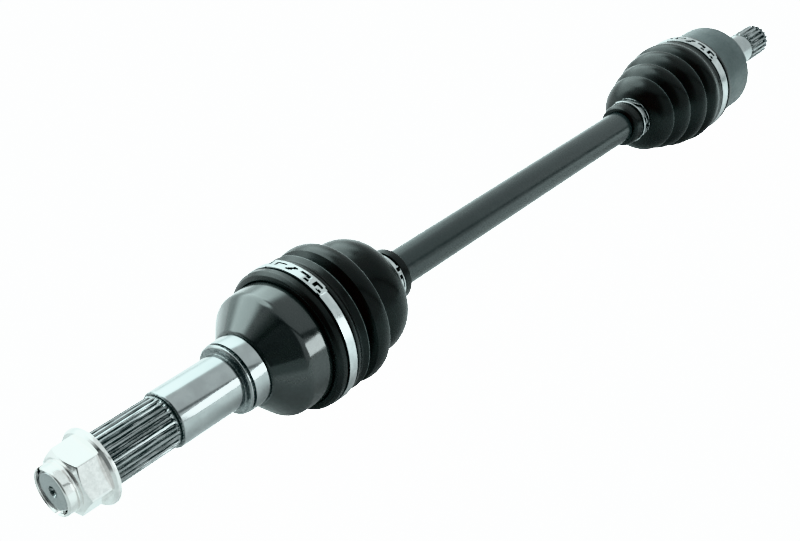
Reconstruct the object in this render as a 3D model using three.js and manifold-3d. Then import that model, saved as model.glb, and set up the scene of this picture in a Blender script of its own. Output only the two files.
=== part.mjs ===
// Drive axle with two constant velocity joints: a splined wheel stub with its nut and a fixed ball
// joint at one end, a bar in the middle, a plunging ball joint and a splined stub at the other end.
// Millimetres, +Z up. The axle lies along X: the wheel end points to -X, the gearbox end to +X.
// Every station below is a distance along the axle from the end face of the wheel stub.
import * as THREE from 'three';
import { mergeVertices } from 'three/addons/utils/BufferGeometryUtils.js';
import Module from 'manifold-3d';

const wasm = await Module();
wasm.setup();

// ---- Driving dimensions -------------------------------------------------------------------------

const GAP = 0.3;                    // between pieces that touch
const ROUND = 24;                   // sides of a turned surface
const ARC_STEP = 14;                // degrees between the rings of a rounded surface or a track
const SECTOR_STEP = 12;             // degrees between the corners of a band or a wire
const WIRE_SIDES = 6;
const OVERRUN = 1;                  // how far a cutter starts outside what it cuts
const BALLS = 6;                    // balls in each joint
const EDGE = 0.5;                   // chamfer on a turned edge
const SPLINE_CORE = 0.4;            // how far a turned core lies under its spline's gaps
const TOOTH = { base: 0.36, top: 0.14 };    // half widths of a spline tooth, in tooth pitches

// wheel stub, forged in one with the outer joint's bell
const NUT_NOSE = -1;                // the nut's collar stands a little past the stub
const THREAD = { end: 22.2, radius: 10.6, chamfer: 0.9 };
const CENTRE_DRILL = { depth: 4.5, radius: 2.7 };
const WHEEL_SPLINE = { start: 22.4, end: 60.6, tip: 13.75, root: 12.5, teeth: 30 };
const RUNOUT_RADIUS = 14.2;
const LOCK_SLOT = { angles: [58, 266], length: 2, width: 1.6, depth: 1.5 };
const BEARING_SEAT = { start: 62.6, end: 101.1, radius: 15 };
const SHOULDER = { end: 102.8, radius: 19.4 };
const SEAL_SEAT = { start: 103.8, end: 113.2, radius: 19.3 };
const SEAL_GROOVE = 0.7;            // depth of the groove between the shoulder and the seal seat

// outer joint: a fixed ball joint
const OUTER_CENTRE = 140;           // station of the point that the outer joint bends about
const BELL = { neck: 114, neckRadius: 20.8, crease: 127, creaseRadius: 34.2, rim: 155, radius: 35 };
const BELL_HOLLOW = 27.5;           // radius of the round hollow that the cage turns in
const BELL_MOUTH = { from: 149, radius: 28 };
const OUTER_BALL = 7;               // ball radius
const OUTER_PITCH = 25;             // radius of the circle through the ball centres
const OUTER_RACE = { radius: 23, half: 10.5 };
const OUTER_CAGE = { inner: 23.3, outer: 26.8, half: 11, window: 8.6 };
const OUTER_CAGE_SWING = 21;        // degrees, half of what the bell swings
const BELL_TRACK_REACH = 50;        // degrees past the centre that the bell's tracks run to its mouth
const RACE_TRACK_REACH = 60;        // degrees each way that the races' tracks run

// inner joint: a plunging ball joint
const INNER_CENTRE = 572;           // station of the point that the inner joint bends about
const CAN = { mouth: 548, floor: 599, back: 604, bore: 25.2, radius: 32.3 };
const INNER_BALL = 6.35;
const INNER_PITCH = 22.5;
const INNER_RACE = { radius: 20.9, half: 9.5 };
const INNER_CAGE = { inner: 21.2, outer: 24.8, half: 9.5, window: 7.8 };
const PLUNGE = 10;                  // slide of the can each way
const CAN_TRACK_END = 3;            // track past the ball when the can is slid fully on
const STOPPER = { station: CAN.mouth + 2.2, wire: 0.8, opening: 24 };

// gearbox stub, forged in one with the inner joint's can
const GEARBOX_SEAT = { radius: 11.3, end: 653.6 };
const GEARBOX_SPLINE = { start: 654.2, end: 680.9, tip: 12, root: 10.7, teeth: 20 };
const AXLE_END = 681.5;
const SNAP_RING = { station: 676.5, wire: 0.8, opening: 20 };

// bar
const BAR_RADIUS = 10.7;
const BAR_SPLINE = { tip: 9.2, root: 8.4, teeth: 16 };
const BAR_TAIL = 3.5;               // bar past a race, room for the circlip
const CIRCLIP = { inner: 7.9, outer: 10.6, thickness: 1.2, opening: 60 };

// nut, with its first corner turned a few degrees from +Y
const NUT = { hexStart: 5.6, seat: 22, collar: 12.5, flats: 30, flange: 19.5, turn: 5 };
const NUT_CHAMFER = 1.8;
const NUT_FLANGE = { start: 17, neck: 17.4, rim: 19.8 };
const NUT_COUNTERSINK = { depth: 3, radius: 14.3 };

// boots and their clamps: the stations of each band and the radius of the rubber under it
const OUTER_LARGE_BAND = { start: 147.1, end: 154, radius: 38.7, thickness: 0.8 };
const OUTER_SMALL_BAND = { start: 217.2, end: 221, radius: 14, thickness: 0.7 };
const INNER_SMALL_BAND = { start: 479.4, end: 487, radius: 13.7, thickness: 0.7 };
const INNER_LARGE_BAND = { start: 553.4, end: 563.2, radius: 34.7, thickness: 0.8 };
const LAP_LENGTH = 37.5;            // of band that lies over itself, the same on every clamp
const LAP_FROM = { outerLarge: 66, outerSmall: 126, innerSmall: 52, innerLarge: 69 };   // degrees
const BOOT_WALL = 1.6;
const BOOT_FOLD = 1.15;             // wall measured along the radius, in wall thicknesses
const BOOT_LIP = { outerLarge: 0.8, outerSmall: 1.5, innerLarge: 1.5 };    // beside the clamps
const BOOT_CLEAR = 3;               // how far past a housing's rim the boot stays as wide inside

// The axle's middle is the origin of the whole model.
const MIDDLE = (NUT_NOSE + AXLE_END) / 2;

// ---- Materials ----------------------------------------------------------------------------------

const finish = (color, roughness, metalness) =>
  new THREE.MeshStandardMaterial({ color, roughness, metalness });
const zincPlate = finish(0xe4e8e8, 0.3, 0.9);
const groundSteel = finish(0xb6c2c2, 0.28, 1);
const blackPaint = finish(0x22292b, 0.25, 0.2);
const greyPaint = finish(0x3b4648, 0.4, 0.2);
const rubber = finish(0x0d0f10, 0.42, 0);
const stainless = finish(0xc3cbcb, 0.3, 1);
const ballSteel = finish(0xd5d9da, 0.12, 1);
const springSteel = finish(0x5c6163, 0.4, 1);

// ---- Geometry helpers ---------------------------------------------------------------------------

const rad = THREE.MathUtils.degToRad;

// Joins vertices that coincide, drops faces with no area and turns the faces outwards.
function weld(geometry) {
  const bare = geometry.clone();
  bare.deleteAttribute('normal');
  bare.deleteAttribute('uv');
  const merged = mergeVertices(bare, 1e-4);
  const at = merged.getAttribute('position');
  const kept = [];
  let volume = 0;
  const corner = [0, 1, 2].map(() => new THREE.Vector3());
  for (let i = 0; i < merged.index.count; i += 3) {
    const face = [0, 1, 2].map((k) => merged.index.getX(i + k));
    if (new Set(face).size < 3) continue;
    face.forEach((v, k) => corner[k].fromBufferAttribute(at, v));
    volume += corner[0].dot(corner[1].clone().cross(corner[2]));
    kept.push(face);
  }
  const outward = volume < 0 ? kept.map(([a, b, c]) => [a, c, b]) : kept;
  merged.setIndex(outward.flat());
  return merged;
}

function toSolid(geometry) {
  const welded = weld(geometry);
  const vertProperties = new Float32Array(welded.getAttribute('position').array);
  const triVerts = new Uint32Array(welded.index.array);
  return new wasm.Manifold(new wasm.Mesh({ numProp: 3, vertProperties, triVerts }));
}

function toGeometry(solid) {
  const mesh = solid.getMesh();
  const geometry = new THREE.BufferGeometry();
  geometry.setAttribute('position', new THREE.BufferAttribute(mesh.vertProperties, 3));
  geometry.setIndex(new THREE.BufferAttribute(mesh.triVerts, 1));
  return geometry;
}

const joined = (geometries) =>
  toGeometry(geometries.map(toSolid).reduce((whole, next) => whole.add(next)));
const cut = (geometry, tools) =>
  toGeometry(tools.map(toSolid).reduce((left, tool) => left.subtract(tool), toSolid(geometry)));
const common = (a, b) => toGeometry(toSolid(a).intersect(toSolid(b)));

// A turned body from [station, radius] points: it starts and ends on the axle, or closes on itself.
function turned(profile, sides = ROUND) {
  const points = profile.map(([station, radius]) => new THREE.Vector2(radius, station));
  return new THREE.LatheGeometry(points, sides).rotateZ(-Math.PI / 2);
}

const closed = (profile) => [...profile, profile[0]];

const rod = (start, end, radius, sides = ROUND) =>
  turned([[start, 0], [start, radius], [end, radius], [end, 0]], sides);

const ring = (start, end, inner, outer, sides = ROUND) =>
  turned(closed([[start, inner], [start, outer], [end, outer], [end, inner]]), sides);

// Points of an arc about the joint's centre, from one station to another.
function arc(radius, from, to) {
  const turn = [from, to].map((station) => Math.acos(station / radius));
  const steps = Math.ceil(Math.abs(turn[1] - turn[0]) / rad(ARC_STEP));
  return Array.from({ length: steps + 1 }, (_, i) => {
    const angle = turn[0] + ((turn[1] - turn[0]) * i) / steps;
    return [radius * Math.cos(angle), radius * Math.sin(angle)];
  });
}

// A prism along the axle. The outline's x and y become the object's y and z.
function prism(outline, start, end) {
  const depth = end - start;
  const shape = outline instanceof THREE.Shape ? outline : new THREE.Shape(outline);
  const flat = new THREE.ExtrudeGeometry(shape, { depth, bevelEnabled: false });
  const yzx = new THREE.Matrix4().makeBasis(
    new THREE.Vector3(0, 1, 0),
    new THREE.Vector3(0, 0, 1),
    new THREE.Vector3(1, 0, 0),
  );
  return flat.applyMatrix4(yzx).translate(start, 0, 0);
}

const polar = (radius, degrees) =>
  new THREE.Vector2(radius * Math.cos(rad(degrees)), radius * Math.sin(rad(degrees)));

// Straight-sided teeth. grow widens them all round, for the bore that takes them.
function splineOutline({ tip, root, teeth }, grow = 0) {
  const pitch = 360 / teeth;
  const tooth = (i) => [
    polar(root + grow, pitch * (i - TOOTH.base)),
    polar(tip + grow, pitch * (i - TOOTH.top)),
    polar(tip + grow, pitch * (i + TOOTH.top)),
    polar(root + grow, pitch * (i + TOOTH.base)),
  ];
  return Array.from({ length: teeth }, (_, i) => tooth(i)).flat();
}

// Part of a ring between two angles, for lapped bands and open rings.
function sector(inner, outer, from, to) {
  const steps = Math.ceil((to - from) / SECTOR_STEP);
  const along = Array.from({ length: steps + 1 }, (_, i) => from + ((to - from) * i) / steps);
  return [
    ...along.map((angle) => polar(outer, angle)),
    ...along.reverse().map((angle) => polar(inner, angle)),
  ];
}

// ---- Ball joint pieces, made about the joint's own centre ---------------------------------------

const TRACK_SIDES = 10;
const TRACK_CLEARANCE = 0.8;        // lets a ball shift sideways in its track as the joint bends
const flatToCorner = 1 / Math.cos(Math.PI / TRACK_SIDES);
const trackRadius = (ball) => (ball + TRACK_CLEARANCE) * flatToCorner;

// The path of a ball's centre: an arc about the joint's centre, in the plane of the axle.
class BallPath extends THREE.Curve {
  constructor(pitch, from, to) {
    super();
    Object.assign(this, { pitch, from, to });
  }

  getPoint(t) {
    const angle = rad(this.from + (this.to - this.from) * t);
    return new THREE.Vector3(this.pitch * Math.sin(angle), this.pitch * Math.cos(angle), 0);
  }
}

const aboutAxle = (geometry, i) => geometry.rotateX((2 * Math.PI * i) / BALLS);
const forEachBall = (make) => Array.from({ length: BALLS }, (_, i) => aboutAxle(make(), i));

// A curved ball track as the solid that a ball sweeps.
function curvedTrack(ball, pitch, from, to) {
  const section = new THREE.Shape().absarc(0, 0, trackRadius(ball), 0, 2 * Math.PI);
  return new THREE.ExtrudeGeometry(section, {
    extrudePath: new BallPath(pitch, from, to),
    curveSegments: TRACK_SIDES / 2,
    steps: Math.ceil((to - from) / ARC_STEP),
    bevelEnabled: false,
  });
}

const trackEnd = (ball, pitch, at) =>
  new THREE.IcosahedronGeometry(trackRadius(ball), 1).translate(
    pitch * Math.sin(rad(at)),
    pitch * Math.cos(rad(at)),
    0,
  );

// Inner race: a band of a sphere with a curved track for each ball and a splined bore.
function raceGeometry(race, ball, pitch) {
  const band = turned([
    [-race.half, 0],
    ...arc(race.radius, -race.half, race.half),
    [race.half, 0],
  ]);
  const tracks = forEachBall(() => curvedTrack(ball, pitch, -RACE_TRACK_REACH, RACE_TRACK_REACH));
  const bore = prism(splineOutline(BAR_SPLINE, GAP), -race.half - OVERRUN, race.half + OVERRUN);
  return cut(band, [...tracks, bore]);
}

// Cage: a band of a hollow sphere with a window for each ball.
function cageGeometry(cage, ball) {
  const shell = turned(closed([
    ...arc(cage.outer, -cage.half, cage.half),
    ...arc(cage.inner, -cage.half, cage.half).reverse(),
  ]));
  const window = () => new THREE.BoxGeometry(2 * (ball + GAP), cage.outer, 2 * cage.window)
    .translate(0, cage.outer, 0);
  return cut(shell, forEachBall(window));
}

function ballGeometry(ball, pitch, i) {
  return aboutAxle(new THREE.IcosahedronGeometry(ball, 1).translate(0, pitch, 0), i);
}

// ---- Wheel end ----------------------------------------------------------------------------------

const toOuterJoint = (geometry) => geometry.translate(OUTER_CENTRE, 0, 0);
const toInnerJoint = (geometry) => geometry.translate(INNER_CENTRE, 0, 0);

// Stub and bell turned in one, with the joint's hollow open at the bell's mouth.
function outerHousingProfile() {
  const hollow = arc(BELL_HOLLOW, -BELL_HOLLOW, BELL_MOUTH.from - OUTER_CENTRE).reverse();
  return [
    [CENTRE_DRILL.depth, 0],
    [0, CENTRE_DRILL.radius],
    [0, THREAD.radius - THREAD.chamfer],
    [THREAD.chamfer, THREAD.radius],
    [THREAD.end, THREAD.radius],
    [WHEEL_SPLINE.start, WHEEL_SPLINE.root - SPLINE_CORE],
    [WHEEL_SPLINE.end, WHEEL_SPLINE.root - SPLINE_CORE],
    [WHEEL_SPLINE.end, RUNOUT_RADIUS],
    [BEARING_SEAT.start, BEARING_SEAT.radius],
    [BEARING_SEAT.end, BEARING_SEAT.radius],
    [BEARING_SEAT.end, SHOULDER.radius - EDGE],
    [BEARING_SEAT.end + EDGE, SHOULDER.radius],
    [SHOULDER.end, SHOULDER.radius],
    [SHOULDER.end + EDGE, SHOULDER.radius - SEAL_GROOVE],
    [SEAL_SEAT.start, SEAL_SEAT.radius],
    [SEAL_SEAT.end, SEAL_SEAT.radius],
    [BELL.neck, BELL.neckRadius],
    [BELL.crease, BELL.creaseRadius],
    [OUTER_CENTRE, BELL.radius],
    [BELL.rim, BELL.radius],
    [BELL.rim, BELL_MOUTH.radius],
    ...hollow.map(([station, radius]) => [OUTER_CENTRE + station, radius]),
  ];
}

// Two slots in the thread's end, where the nut's collar is punched in to lock it.
function lockSlots() {
  const { angles, length, width, depth } = LOCK_SLOT;
  const slot = (degrees) => new THREE.BoxGeometry(2 * length, 2 * depth, width)
    .translate(0, THREAD.radius, 0)
    .rotateX(rad(degrees));
  return angles.map(slot);
}

function outerHousingGeometry() {
  const body = turned(outerHousingProfile());
  const teeth = prism(splineOutline(WHEEL_SPLINE), WHEEL_SPLINE.start, WHEEL_SPLINE.end);
  const tracks = forEachBall(() =>
    curvedTrack(OUTER_BALL, OUTER_PITCH, -OUTER_CAGE_SWING, BELL_TRACK_REACH));
  const ends = forEachBall(() => trackEnd(OUTER_BALL, OUTER_PITCH, -OUTER_CAGE_SWING));
  const tools = [...tracks, ...ends].map(toOuterJoint);
  return cut(joined([body, teeth]), [...tools, ...lockSlots()]);
}

// Hexagon nut with a thin locking collar at its nose and a flange at its seat.
function nutGeometry() {
  const corner = NUT.flats / 2 / Math.cos(Math.PI / 6);
  const hexagon = Array.from({ length: 6 }, (_, i) => polar(corner, 60 * i + NUT.turn));
  const chamfer = turned([
    [NUT.hexStart, 0],
    [NUT.hexStart, NUT.flats / 2 - EDGE],
    [NUT.hexStart + NUT_CHAMFER, corner + GAP],
    [NUT.seat, corner + GAP],
    [NUT.seat, 0],
  ]);
  const hex = common(prism(hexagon, NUT.hexStart, NUT.seat - OVERRUN), chamfer);
  const collar = turned([
    [NUT_NOSE, 0],
    [NUT_NOSE, NUT.collar - EDGE],
    [NUT_NOSE + EDGE, NUT.collar],
    [NUT.hexStart + OVERRUN, NUT.collar],
    [NUT.hexStart + OVERRUN, 0],
  ]);
  const flange = turned([
    [NUT_FLANGE.start, 0],
    [NUT_FLANGE.start, NUT_FLANGE.neck],
    [NUT_FLANGE.rim, NUT.flange],
    [NUT.seat, NUT.flange],
    [NUT.seat, 0],
  ]);
  const bore = rod(NUT_NOSE - OVERRUN, NUT.seat + OVERRUN, THREAD.radius + GAP);
  const countersink = turned([
    [NUT.seat - NUT_COUNTERSINK.depth, 0],
    [NUT.seat - NUT_COUNTERSINK.depth, THREAD.radius],
    [NUT.seat, NUT_COUNTERSINK.radius],
    [NUT.seat + OVERRUN, NUT_COUNTERSINK.radius],
    [NUT.seat + OVERRUN, 0],
  ]);
  return cut(joined([hex, collar, flange]), [bore, countersink]);
}

// ---- Gearbox end --------------------------------------------------------------------------------

// Can and stub turned in one, with the joint's bore open at the can's mouth.
function innerHousingProfile() {
  const core = GEARBOX_SPLINE.root - SPLINE_CORE;
  return [
    [CAN.mouth, CAN.bore],
    [CAN.mouth, CAN.radius - EDGE],
    [CAN.mouth + EDGE, CAN.radius],
    [CAN.back - EDGE, CAN.radius],
    [CAN.back, CAN.radius - EDGE],
    [CAN.back, GEARBOX_SEAT.radius + EDGE],
    [CAN.back + EDGE, GEARBOX_SEAT.radius],
    [GEARBOX_SEAT.end, GEARBOX_SEAT.radius],
    [GEARBOX_SPLINE.start, core],
    [GEARBOX_SPLINE.end - EDGE, core],
    [AXLE_END, core - EDGE],
    [AXLE_END, 0],
    [CAN.floor, 0],
    [CAN.floor, CAN.bore],
  ];
}

const snapFloor = () => GEARBOX_SPLINE.tip - 2 * SNAP_RING.wire - GAP;

function innerHousingGeometry() {
  const body = turned(closed(innerHousingProfile()));
  const teeth = prism(splineOutline(GEARBOX_SPLINE), GEARBOX_SPLINE.start, GEARBOX_SPLINE.end);
  const lead = 2 * EDGE;
  const taper = turned([
    [GEARBOX_SPLINE.start, 0],
    [GEARBOX_SPLINE.start, GEARBOX_SPLINE.tip + GAP],
    [GEARBOX_SPLINE.end - lead, GEARBOX_SPLINE.tip + GAP],
    [GEARBOX_SPLINE.end, GEARBOX_SPLINE.root],
    [GEARBOX_SPLINE.end, 0],
  ]);
  const trackEnds = [CAN.mouth - OVERRUN, INNER_CENTRE + PLUNGE + INNER_BALL + CAN_TRACK_END];
  const track = () => rod(...trackEnds, trackRadius(INNER_BALL), TRACK_SIDES)
    .translate(0, INNER_PITCH, 0);
  const { station, wire } = STOPPER;
  const reach = wire + GAP;
  const groove = ring(station - reach, station + reach, CAN.bore - reach, CAN.bore + reach);
  const snap = SNAP_RING.station;
  const width = SNAP_RING.wire + GAP;
  const snapGroove = ring(snap - width, snap + width, snapFloor(), GEARBOX_SPLINE.tip + width);
  const stub = joined([body, common(teeth, taper)]);
  return cut(stub, [...forEachBall(track), groove, snapGroove]);
}

// The angles that an open ring starts and ends at: its gap faces down.
const openRing = (opening) => [opening / 2 - 90, 270 - opening / 2];

// A round-wire ring with a gap, around the axle.
function wireRing({ station, wire, opening }, radius) {
  const [from, to] = openRing(opening);
  const path = new (class extends THREE.Curve {
    getPoint(t) {
      const at = polar(radius, from + (to - from) * t);
      return new THREE.Vector3(station, at.x, at.y);
    }
  })();
  const section = new THREE.Shape().absarc(0, 0, wire, 0, 2 * Math.PI);
  return new THREE.ExtrudeGeometry(section, {
    extrudePath: path,
    curveSegments: WIRE_SIDES / 2,
    steps: Math.ceil((to - from) / SECTOR_STEP),
    bevelEnabled: false,
  });
}

// ---- Bar ----------------------------------------------------------------------------------------

const OUTER_TAIL = OUTER_CENTRE - OUTER_RACE.half - BAR_TAIL;
const OUTER_STOP = OUTER_CENTRE + OUTER_RACE.half + GAP;
const INNER_STOP = INNER_CENTRE - INNER_RACE.half - GAP;
const INNER_TAIL = INNER_CENTRE + INNER_RACE.half + BAR_TAIL;
const OUTER_CLIP = OUTER_CENTRE - OUTER_RACE.half - GAP - CIRCLIP.thickness;
const INNER_CLIP = INNER_CENTRE + INNER_RACE.half + GAP;

function barGeometry() {
  const core = BAR_SPLINE.root - SPLINE_CORE;
  const body = turned([
    [OUTER_TAIL, 0],
    [OUTER_TAIL, core - EDGE],
    [OUTER_TAIL + EDGE, core],
    [OUTER_STOP, core],
    [OUTER_STOP, BAR_RADIUS - EDGE],
    [OUTER_STOP + EDGE, BAR_RADIUS],
    [INNER_STOP - EDGE, BAR_RADIUS],
    [INNER_STOP, BAR_RADIUS - EDGE],
    [INNER_STOP, core],
    [INNER_TAIL - EDGE, core],
    [INNER_TAIL, core - EDGE],
    [INNER_TAIL, 0],
  ]);
  const outline = splineOutline(BAR_SPLINE);
  const teeth = [
    prism(outline, OUTER_TAIL + EDGE, OUTER_STOP + GAP),
    prism(outline, INNER_STOP - GAP, INNER_TAIL - EDGE),
  ];
  const clipGroove = (start) =>
    ring(start - GAP, start + CIRCLIP.thickness + GAP, CIRCLIP.inner - GAP, BAR_RADIUS);
  return cut(joined([body, ...teeth]), [clipGroove(OUTER_CLIP), clipGroove(INNER_CLIP)]);
}

const circlipGeometry = (start) =>
  prism(sector(CIRCLIP.inner, CIRCLIP.outer, ...openRing(CIRCLIP.opening)),
    start, start + CIRCLIP.thickness);

// ---- Boots and clamps ---------------------------------------------------------------------------

// A bellows from its outside [station, radius] points. The inside keeps a wall's thickness below
// the outside, and never comes nearer the axle than the floor under that station.
function bellows(outside, floor) {
  const inside = outside.map(([station, radius]) => {
    const least = floor(station);
    return [station, Math.max(radius - BOOT_WALL * BOOT_FOLD, least)];
  });
  return turned(closed([...outside, ...inside.reverse()]));
}

function outerBootGeometry() {
  const large = OUTER_LARGE_BAND;
  const small = OUTER_SMALL_BAND;
  const lip = large.radius + BOOT_LIP.outerLarge;
  const tail = small.radius + BOOT_LIP.outerSmall;
  const fit = BELL.radius + GAP;
  const seal = BAR_RADIUS + GAP;
  const outside = [
    [141, lip - 3],
    [143, lip],
    [large.start - GAP, lip],
    [large.start - GAP, large.radius],
    [large.end + GAP, large.radius],
    [large.end + GAP, lip],
    [160, lip - 2],
    [163.5, 39.1],
    [168, 33.2],
    [174.5, 39.6],
    [179.5, 39.2],
    [184.5, 30.5],
    [197.5, 33.6],
    [204.5, 30.3],
    [208.5, 23.5],
    [214.5, tail],
    [small.start - GAP, tail],
    [small.start - GAP, small.radius],
    [small.end + GAP, small.radius],
    [small.end + GAP, tail],
    [227, tail],
  ];
  return bellows(outside, (station) => (station < BELL.rim + BOOT_CLEAR ? fit : seal));
}

function innerBootGeometry() {
  const large = INNER_LARGE_BAND;
  const small = INNER_SMALL_BAND;
  const seal = BAR_RADIUS + GAP;
  const fit = CAN.radius + GAP;
  const lip = large.radius + BOOT_LIP.innerLarge;
  const outside = [
    [470, 13.3],
    [small.start - GAP, small.radius],
    [small.end + GAP, small.radius],
    [492, 22.5],
    [499.5, 26.8],
    [503.5, 22.8],
    [515.5, 30.8],
    [519.5, 26.2],
    [531.5, 35],
    [535.5, 30.8],
    [546.5, 36.4],
    [large.start - GAP, lip],
    [large.start - GAP, large.radius],
    [large.end + GAP, large.radius],
    [large.end + GAP, lip],
    [567.5, lip],
  ];
  return bellows(outside, (station) => (station < CAN.mouth - BOOT_CLEAR ? seal : fit));
}

// A flat band around a boot's end, twice as thick where it laps over itself.
function clampGeometry(band, from) {
  const inner = band.radius + GAP;
  const outer = inner + band.thickness;
  const strip = ring(band.start, band.end, inner, outer);
  const to = from + THREE.MathUtils.radToDeg(LAP_LENGTH / outer);
  const lapped = sector((inner + outer) / 2, outer + band.thickness, from, to);
  return joined([strip, prism(lapped, band.start, band.end)]);
}

// ---- Assembly -----------------------------------------------------------------------------------

const axle = new THREE.Group();
axle.position.x = -MIDDLE;

function add(name, geometry, material, group = axle) {
  const mesh = new THREE.Mesh(weld(geometry), material);
  mesh.name = name;
  group.add(mesh);
}

// The pieces inside a joint, in a group that stands at the joint's centre.
function addBallJoint(side, station, { race, cage, ball, pitch }) {
  const joint = new THREE.Group();
  joint.position.x = station;
  axle.add(joint);
  add(`${side}_joint_race`, raceGeometry(race, ball, pitch), groundSteel, joint);
  add(`${side}_joint_cage`, cageGeometry(cage, ball), groundSteel, joint);
  for (let i = 0; i < BALLS; i++) {
    add(`${side}_joint_ball_${i + 1}`, ballGeometry(ball, pitch, i), ballSteel, joint);
  }
}

add('axle_nut', nutGeometry(), zincPlate);
add('outer_housing', outerHousingGeometry(), groundSteel);
addBallJoint('outer', OUTER_CENTRE, {
  race: OUTER_RACE, cage: OUTER_CAGE, ball: OUTER_BALL, pitch: OUTER_PITCH,
});
add('outer_race_circlip', circlipGeometry(OUTER_CLIP), springSteel);
add('outer_boot', outerBootGeometry(), rubber);
add('outer_boot_large_clamp', clampGeometry(OUTER_LARGE_BAND, LAP_FROM.outerLarge), stainless);
add('outer_boot_small_clamp', clampGeometry(OUTER_SMALL_BAND, LAP_FROM.outerSmall), stainless);
add('axle_bar', barGeometry(), blackPaint);
add('inner_boot', innerBootGeometry(), rubber);
add('inner_boot_small_clamp', clampGeometry(INNER_SMALL_BAND, LAP_FROM.innerSmall), stainless);
add('inner_boot_large_clamp', clampGeometry(INNER_LARGE_BAND, LAP_FROM.innerLarge), stainless);
add('inner_race_circlip', circlipGeometry(INNER_CLIP), springSteel);
addBallJoint('inner', INNER_CENTRE, {
  race: INNER_RACE, cage: INNER_CAGE, ball: INNER_BALL, pitch: INNER_PITCH,
});
add('inner_joint_stopper_ring', wireRing(STOPPER, CAN.bore), springSteel);
add('inner_housing', innerHousingGeometry(), greyPaint);
add('inner_stub_snap_ring', wireRing(SNAP_RING, snapFloor() + GAP + SNAP_RING.wire), springSteel);

export default axle;
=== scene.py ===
"""The looks of a CV axle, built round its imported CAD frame.

The axle lies along X. Stations are millimetres along it from the end face of the
wheel stub, radii are millimetres from its middle line, and an angle of 0 points
along +Y, 90 degrees straight up. Every piece is made in metres in the row frame.
"""

import math

import bmesh
import bpy
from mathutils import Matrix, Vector


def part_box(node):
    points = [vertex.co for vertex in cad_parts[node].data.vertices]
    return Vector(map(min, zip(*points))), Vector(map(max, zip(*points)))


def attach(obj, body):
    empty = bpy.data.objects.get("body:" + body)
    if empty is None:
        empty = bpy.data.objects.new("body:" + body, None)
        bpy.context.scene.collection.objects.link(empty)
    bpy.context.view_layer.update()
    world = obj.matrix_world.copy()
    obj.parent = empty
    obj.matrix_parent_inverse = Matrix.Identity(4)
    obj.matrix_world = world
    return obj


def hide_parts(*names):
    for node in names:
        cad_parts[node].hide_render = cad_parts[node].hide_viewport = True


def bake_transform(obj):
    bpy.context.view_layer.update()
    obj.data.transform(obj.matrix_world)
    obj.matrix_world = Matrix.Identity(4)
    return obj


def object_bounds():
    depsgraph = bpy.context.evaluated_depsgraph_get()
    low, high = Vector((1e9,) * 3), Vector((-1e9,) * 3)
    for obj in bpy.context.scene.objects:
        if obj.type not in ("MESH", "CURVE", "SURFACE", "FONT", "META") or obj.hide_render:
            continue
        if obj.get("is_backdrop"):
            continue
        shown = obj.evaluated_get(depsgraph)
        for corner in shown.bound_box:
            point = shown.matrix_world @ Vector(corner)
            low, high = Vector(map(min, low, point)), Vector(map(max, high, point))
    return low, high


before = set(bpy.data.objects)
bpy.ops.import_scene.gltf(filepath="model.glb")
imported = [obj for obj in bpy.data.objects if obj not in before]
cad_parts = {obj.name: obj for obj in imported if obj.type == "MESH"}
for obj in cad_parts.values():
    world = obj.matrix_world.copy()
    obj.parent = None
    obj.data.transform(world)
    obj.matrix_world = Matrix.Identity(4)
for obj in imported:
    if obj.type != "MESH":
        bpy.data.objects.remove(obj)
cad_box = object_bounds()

MM = 0.001
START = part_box("outer_housing")[0].x
SEGMENTS = 240
SHARP = math.radians(36)
BEVEL_FROM = math.radians(30)

# ------ driving sizes

THREAD = {"pitch": 1.5, "root": 9.7, "crest": 10.5, "start": 0.9, "end": 22.0}
WHEEL_SPLINE = {"start": 22.4, "end": 60.4, "root": 12.35, "tip": 13.7, "teeth": 30}
RELIEF = {"end": 61.4, "radius": 13.1}
BEARING_SEAT = {"start": 62.6, "end": 101.1, "radius": 15, "undercut": 14.6}
SHOULDER = {"end": 102.8, "radius": 19.4}
SEAL_SEAT = {"start": 103.8, "end": 113.2, "radius": 19.3, "groove": 18}

BELL = {"neck": 114, "neck_radius": 20.8, "crease": 127, "crease_radius": 34.2}
BELL_RIM = {"station": 155, "radius": 35, "bore": 28}
OUTER_JOINT = {"centre": 140, "ball": 7, "pitch": 25, "hollow": 27.5}
OUTER_RACE = {"radius": 23, "half": 10.4}
OUTER_CAGE = {"inner": 23.3, "outer": 26.7, "half": 10.8, "window": 8.4}

CAN = {"mouth": 548, "floor": 599, "back": 604, "bore": 25.2, "radius": 32.3}
INNER_JOINT = {"centre": 572, "ball": 6.35, "pitch": 22.5}
INNER_RACE = {"radius": 20.9, "half": 9.4}
INNER_CAGE = {"inner": 21.2, "outer": 24.7, "half": 9.3, "window": 7.6}
BALL_ANGLES = [math.tau * ball / 6 for ball in range(6)]
TRACK_ROOM = {"outer": 0.95, "can": 0.45, "inner_race": 1.35}

GEARBOX_SEAT = {"end": 653.6, "radius": 11.3}
GEARBOX_SPLINE = {"start": 654.2, "end": 680.9, "root": 10.6, "tip": 11.95, "teeth": 20}
SNAP_GROOVE = {"station": 676.5, "radius": 10.3, "half": 0.9}

BAR = {"radius": 10.7, "outer_stop": 150.8, "inner_stop": 562.2, "tail": 126, "head": 585, "end": 7.6}
BAR_SPLINE = {"root": 8.3, "tip": 9.1, "teeth": 20}

NUT = {"nose": -1, "neck": 3.2, "waist": 4.9, "hex": 5.6, "seat": 22, "collar": 12.5}
NUT_HEX = {"apothem": 15, "corner": 17.3, "end": 18.6, "phase": math.radians(5)}
NUT_NOSE = {"radius": 13.7, "slope": 1.75, "easing": 9}
NUT_FLANGE = {"neck": 18.3, "radius": 19.4, "rim": 20.2}
NUT_BORE = {"radius": 10.9, "sink": 14.3, "sink_depth": 3}
LOCK_SLOTS = (math.radians(58), math.radians(266))

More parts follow.
